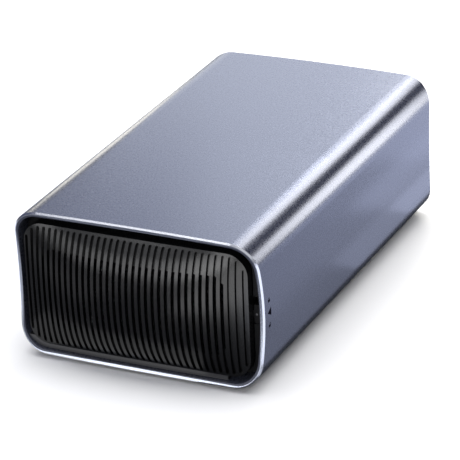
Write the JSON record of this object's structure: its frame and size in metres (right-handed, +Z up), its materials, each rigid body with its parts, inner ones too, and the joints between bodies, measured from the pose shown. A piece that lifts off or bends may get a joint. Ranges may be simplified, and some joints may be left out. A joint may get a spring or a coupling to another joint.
{
  "type": "dual bay hard drive enclosure",
  "caption": "Desktop hard drive enclosure: crowned aluminium sleeve with hollow ends, pull-off slatted pillow front, drive cage, fan and rear ports.",
  "frame": {"origin": "Under the middle of the part, on the surface that it stands on.", "axes": "+Z is up, the slatted front faces -Y, +X is to the right seen from the front."},
  "size_m": [0.125, 0.2222, 0.075],
  "materials": {
    "anodised_shell": "fine bead-blasted, blue-grey anodised",
    "satin_black": "satin",
    "frame_black": "fine texture",
    "slider_grey": "satin",
    "foot_rubber": "matt",
    "cage_metal": "rolled sheet",
    "steel": "nickel plated",
    "board": "lacquered laminate",
    "connector_black": "moulded",
    "sink_metal": "extruded",
    "fan_black": "moulded",
    "button_black": "polished"
  },
  "bodies": {
    "enclosure": {"outer_shell": "anodised_shell", "foot_front_left": "foot_rubber", "foot_front_right": "foot_rubber", "foot_rear_left": "foot_rubber", "foot_rear_right": "foot_rubber", "shell_screws": "steel", "front_frame": "frame_black", "frame_screws": "steel", "cage_floor": "cage_metal", "cage_side_left": "cage_metal", "cage_side_right": "cage_metal", "cage_top": "cage_metal", "drive_rail_lower_left": "cage_metal", "drive_rail_lower_right": "cage_metal", "drive_rail_upper_left": "cage_metal", "drive_rail_upper_right": "cage_metal", "board_post_lower_left": "cage_metal", "board_post_lower_right": "cage_metal", "board_post_upper_left": "cage_metal", "board_post_upper_right": "cage_metal", "cage_top_screws": "steel", "cage_floor_screws": "steel", "backplane_board": "board", "board_screws": "steel", "drive_connector_lower": "connector_black", "drive_connector_upper": "connector_black", "main_board": "board", "link_connector": "connector_black", "bridge_chip": "connector_black", "heat_sink": "sink_metal", "capacitor_1": "sink_metal", "capacitor_2": "sink_metal", "rear_panel": "frame_black", "panel_screws": "steel", "fan_frame": "fan_black", "fan_screws": "steel", "usb_port": "steel", "dc_jack": "connector_black", "power_switch": "connector_black", "set_switch": "connector_black", "mode_switch": "connector_black"},
    "cover": {"grille_cover": "satin_black"},
    "lock": {"lock_slider": "slider_grey"},
    "rotor": {"fan_rotor": "fan_black"},
    "power": {"power_button": "button_black"},
    "set": {"set_button": "button_black"},
    "mode_1": {"mode_slider_1": "slider_grey"},
    "mode_2": {"mode_slider_2": "slider_grey"}
  },
  "joints": [
    {"name": "cover_pull", "type": "slide", "parent": "enclosure", "child": "cover", "axis": [0, -1, 0], "range_m": [0, 0.06]},
    {"name": "lock_slide", "type": "slide", "parent": "enclosure", "child": "lock", "axis": [0, 0, 1], "range_m": [0, 0.004]},
    {"name": "fan_spin", "type": "hinge", "parent": "enclosure", "child": "rotor", "pos_m": [-0.016, 0.09284, 0.03835], "axis": [0, 1, 0], "continuous": true},
    {"name": "power_button_press", "type": "slide", "parent": "enclosure", "child": "power", "axis": [0, -1, 0], "range_m": [0, 0.0008], "stiffness_N_per_m": 1500, "springref_m": -0.0004},
    {"name": "set_button_press", "type": "slide", "parent": "enclosure", "child": "set", "axis": [0, -1, 0], "range_m": [0, 0.0008], "stiffness_N_per_m": 1200, "springref_m": -0.0004},
    {"name": "mode_slider_1_slide", "type": "slide", "parent": "enclosure", "child": "mode_1", "axis": [1, 0, 0], "range_m": [0, 0.0016]},
    {"name": "mode_slider_2_slide", "type": "slide", "parent": "enclosure", "child": "mode_2", "axis": [1, 0, 0], "range_m": [0, 0.0016]}
  ]
}
